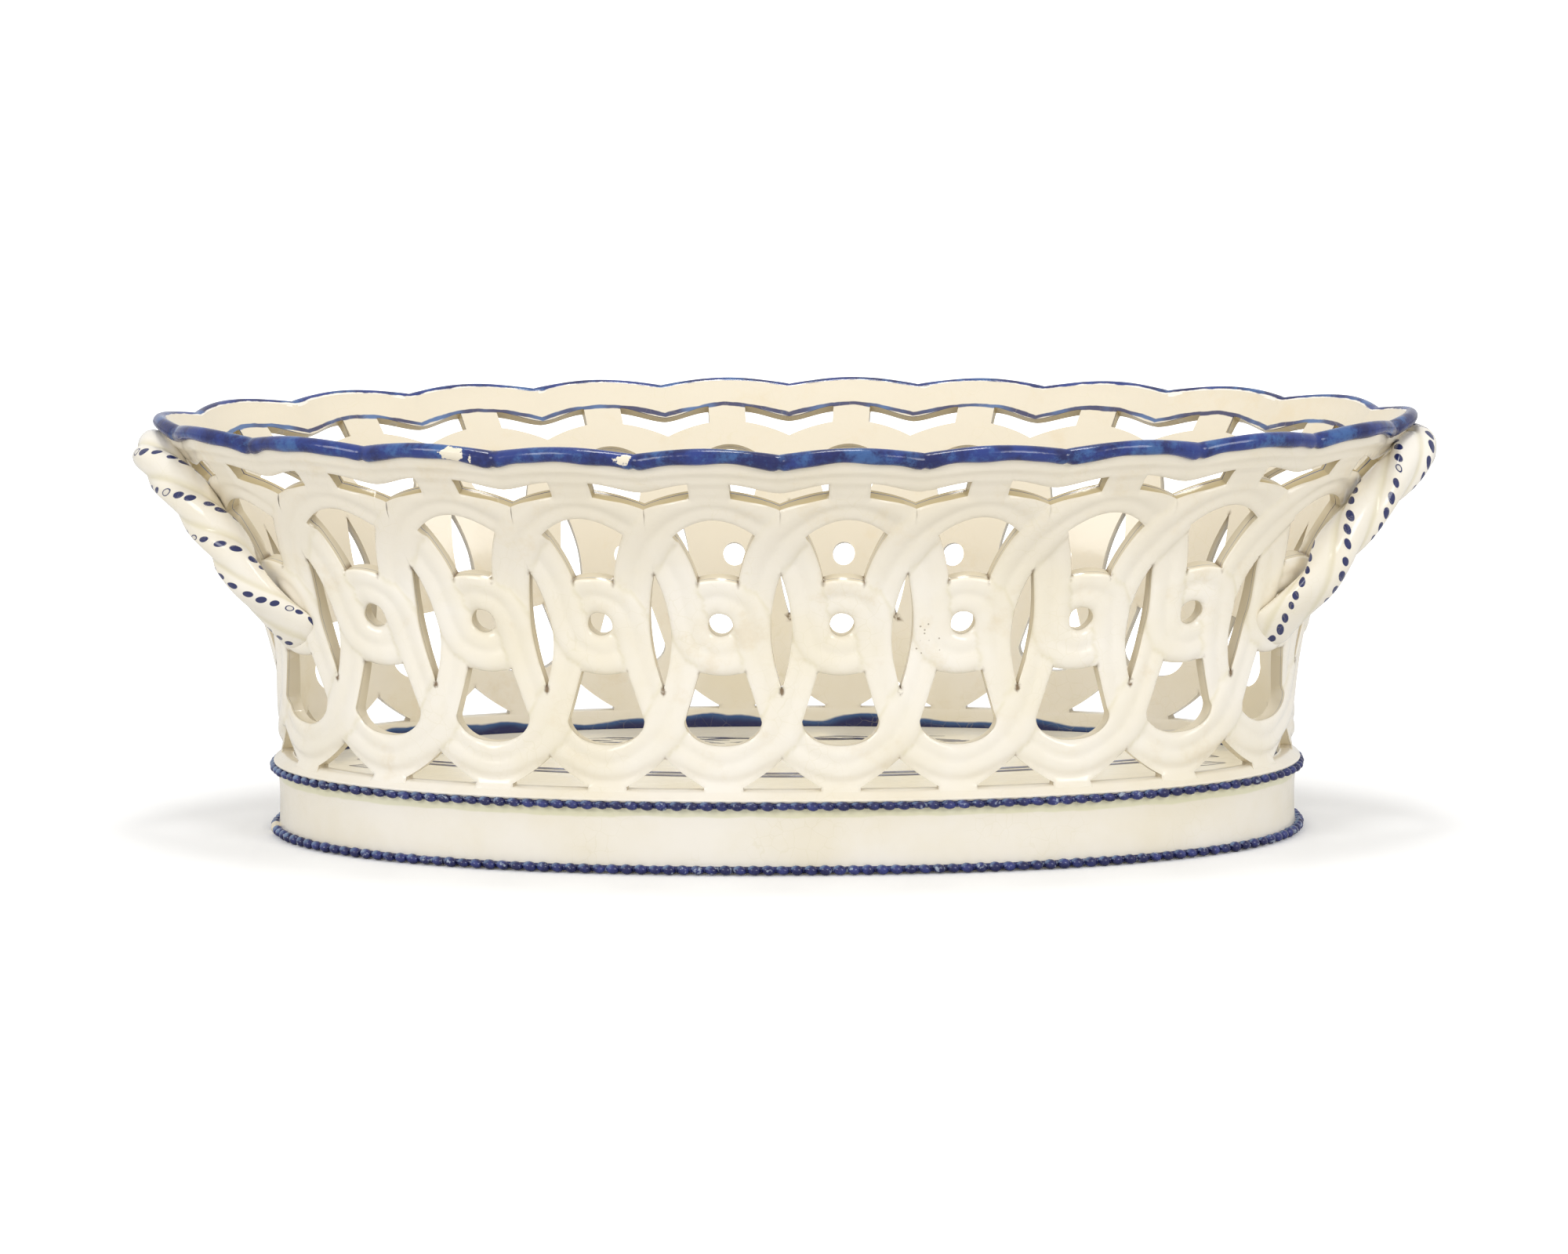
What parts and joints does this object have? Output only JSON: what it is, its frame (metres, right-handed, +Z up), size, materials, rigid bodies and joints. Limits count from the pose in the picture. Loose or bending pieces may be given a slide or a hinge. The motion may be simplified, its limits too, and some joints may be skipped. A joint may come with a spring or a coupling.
{
  "type": "pierced creamware basket",
  "caption": "Oval pierced creamware basket with a flared wall of interlaced straps, beaded foot, scalloped blue rim and twisted rope handles at both ends.",
  "frame": {"origin": "middle of the foot's underside, on the surface that the basket stands on", "axes": "+X along the long axis towards the right handle, -Y towards the front, +Z up"},
  "size_m": [0.28, 0.1484, 0.09],
  "materials": {
    "cream_glaze": "glossy ivory lead glaze",
    "blue_glaze": "cobalt blue painted under a glossy glaze"
  },
  "bodies": {
    "root": {"foot_ring": "cream_glaze", "floor_plate": "cream_glaze", "lower_bead_string": "blue_glaze", "upper_bead_string": "blue_glaze", "pierced_wall": "cream_glaze", "rim_roll": "blue_glaze", "right_handle_strand_1": "cream_glaze", "right_handle_strand_2": "cream_glaze", "right_handle_strand_3": "cream_glaze", "right_handle_front_terminal": "cream_glaze", "right_handle_back_terminal": "cream_glaze", "left_handle_strand_1": "cream_glaze", "left_handle_strand_2": "cream_glaze", "left_handle_strand_3": "cream_glaze", "left_handle_back_terminal": "cream_glaze", "left_handle_front_terminal": "cream_glaze"}
  },
  "joints": []
}
